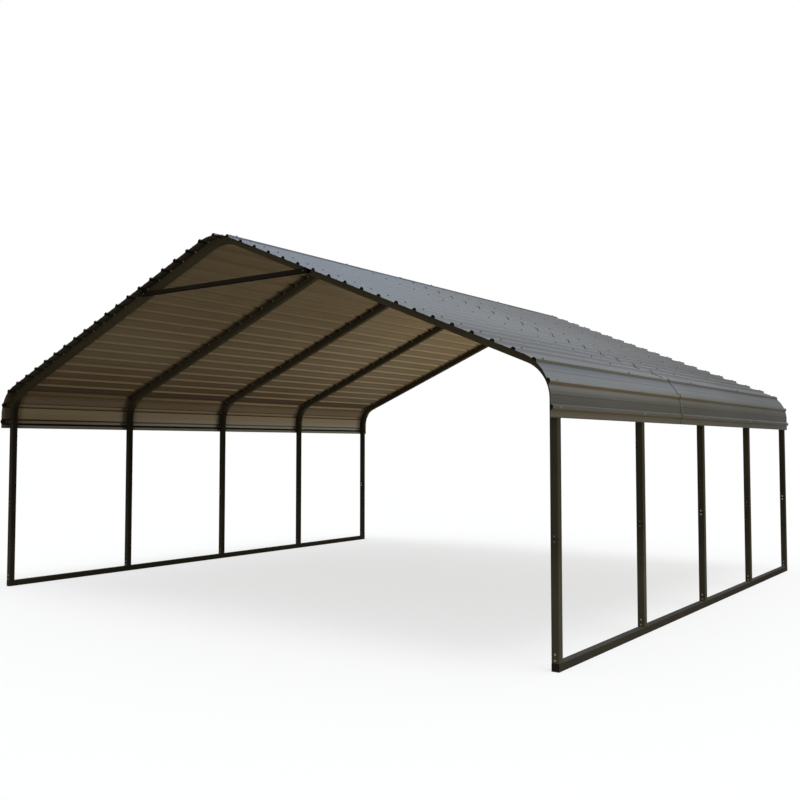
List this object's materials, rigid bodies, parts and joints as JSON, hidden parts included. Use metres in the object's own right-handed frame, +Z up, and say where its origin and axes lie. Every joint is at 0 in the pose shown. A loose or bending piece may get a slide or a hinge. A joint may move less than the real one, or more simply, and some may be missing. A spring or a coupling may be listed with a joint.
{
  "type": "open metal carport",
  "caption": "Open two-car carport: bent square-tube frames on base rails under a ribbed steel gable roof with rounded eaves and peak.",
  "frame": {"origin": "on the ground, in the middle of the footprint", "axes": "+X across the carport to the right as seen from the front, +Y along it to the rear, +Z up"},
  "size_m": [6.5204, 6.351, 3.3554],
  "materials": {
    "frame_tube": "satin",
    "inner_sleeve": "plain",
    "rail_cap": "satin",
    "roof_sheet": "satin"
  },
  "bodies": {
    "root": {"fourth_left_bow": "frame_tube", "fourth_left_lower_post": "frame_tube", "fourth_right_bow": "frame_tube", "fourth_right_lower_post": "frame_tube", "front_left_bow": "frame_tube", "front_left_eave_sheet": "roof_sheet", "front_left_lower_post": "frame_tube", "front_left_lower_sheet": "roof_sheet", "front_left_upper_sheet": "roof_sheet", "front_ridge_sheet": "roof_sheet", "front_right_bow": "frame_tube", "front_right_eave_sheet": "roof_sheet", "front_right_lower_post": "frame_tube", "front_right_lower_sheet": "roof_sheet", "front_right_upper_sheet": "roof_sheet", "front_tie": "frame_tube", "left_base_rail": "frame_tube", "left_base_stubs": "inner_sleeve", "left_post_sleeves": "inner_sleeve", "left_rail_caps": "rail_cap", "middle_left_bow": "frame_tube", "middle_left_lower_post": "frame_tube", "middle_right_bow": "frame_tube", "middle_right_lower_post": "frame_tube", "peak_sleeves": "inner_sleeve", "rear_left_bow": "frame_tube", "rear_left_eave_sheet": "roof_sheet", "rear_left_lower_post": "frame_tube", "rear_left_lower_sheet": "roof_sheet", "rear_left_upper_sheet": "roof_sheet", "rear_ridge_sheet": "roof_sheet", "rear_right_bow": "frame_tube", "rear_right_eave_sheet": "roof_sheet", "rear_right_lower_post": "frame_tube", "rear_right_lower_sheet": "roof_sheet", "rear_right_upper_sheet": "roof_sheet", "right_base_rail": "frame_tube", "right_base_stubs": "inner_sleeve", "right_post_sleeves": "inner_sleeve", "right_rail_caps": "rail_cap", "second_left_bow": "frame_tube", "second_left_lower_post": "frame_tube", "second_right_bow": "frame_tube", "second_right_lower_post": "frame_tube"}
  },
  "joints": []
}
